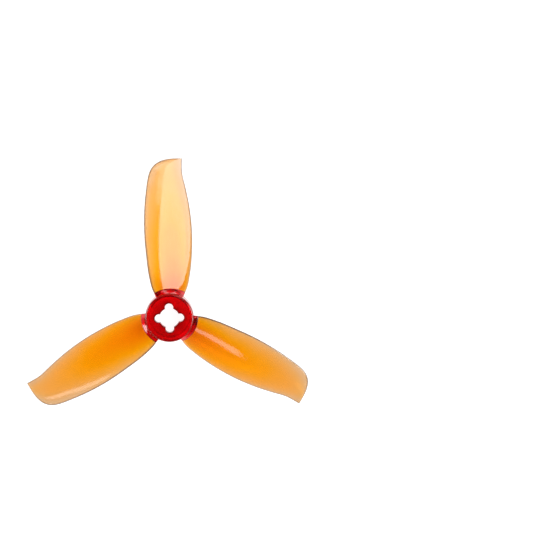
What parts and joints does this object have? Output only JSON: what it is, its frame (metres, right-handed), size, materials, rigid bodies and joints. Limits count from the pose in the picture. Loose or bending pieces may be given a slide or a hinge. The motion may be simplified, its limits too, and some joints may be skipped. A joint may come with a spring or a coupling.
{
  "type": "propeller",
  "caption": "Tri-blade multirotor propeller moulded in clear orange plastic, with swept pointed tips and a round hub pierced by a four-lobed screw opening.",
  "frame": {"origin": "on the spin axis, in the plane of the hub's underside, which sits on the motor", "axes": "+Z along the spin axis, towards the face that the screw heads sit on. +X and +Y run midway between the screw lobes, so the four screw centres form a square with sides parallel to X and Y. blade_1's axis is 43 degrees from +X, and blade_2 and blade_3 follow every 120 degrees counter-clockwise seen from +Z."},
  "size_m": [0.0663, 0.0651, 0.0055],
  "materials": {
    "hub_red": "gloss",
    "blade_orange": "gloss"
  },
  "bodies": {
    "root": {"hub": "hub_red", "blade_1": "blade_orange", "blade_2": "blade_orange", "blade_3": "blade_orange"}
  },
  "joints": []
}
